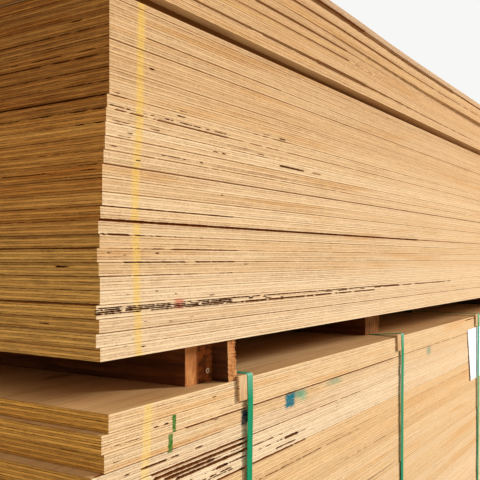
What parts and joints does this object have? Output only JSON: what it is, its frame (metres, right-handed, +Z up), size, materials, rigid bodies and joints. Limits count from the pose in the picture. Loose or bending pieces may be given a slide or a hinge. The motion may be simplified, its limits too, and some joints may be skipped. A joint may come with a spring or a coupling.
{
  "type": "stack of plywood sheets",
  "caption": "Two packs of plywood sheets, one on the other on timber bearers: loose uneven sheets above, a strapped pack with wooden edge pads below.",
  "frame": {"origin": "on the floor under the middle of the whole pile's box", "axes": "+X along the sheets' long side, +Y across the sheets towards the back, +Z up"},
  "size_m": [2.493, 1.2868, 1.3805],
  "materials": {
    "plywood_lower": "sawn softwood plywood, pale plies showing on the cut edges",
    "plywood_upper": "sawn softwood plywood, pale plies showing on the cut edges",
    "bearer_timber": "dark stained sawn timber",
    "rough_board": "dark rough-sawn board with a pale broken end",
    "pad_wood": "pale split softwood",
    "strap_plastic": "green embossed polyester strapping",
    "label_paper": "plain white paper"
  },
  "bodies": {
    "root": {"lower_sheets": "plywood_lower", "upper_sheets": "plywood_upper", "thin_sheet": "plywood_upper", "set_back_sheet": "plywood_upper", "top_sheets": "plywood_upper", "bearer_1": "bearer_timber", "bearer_2": "bearer_timber", "bearer_3": "bearer_timber", "bearer_4": "bearer_timber", "board_on_edge": "rough_board", "strap_1": "strap_plastic", "strap_2": "strap_plastic", "strap_3": "strap_plastic", "strap_4": "strap_plastic", "edge_pad_front_1": "pad_wood", "edge_pad_front_2": "pad_wood", "edge_pad_front_3": "pad_wood", "edge_pad_front_4": "pad_wood", "edge_pad_back_1": "pad_wood", "edge_pad_back_2": "pad_wood", "edge_pad_back_3": "pad_wood", "edge_pad_back_4": "pad_wood", "paper_label": "label_paper"}
  },
  "joints": []
}
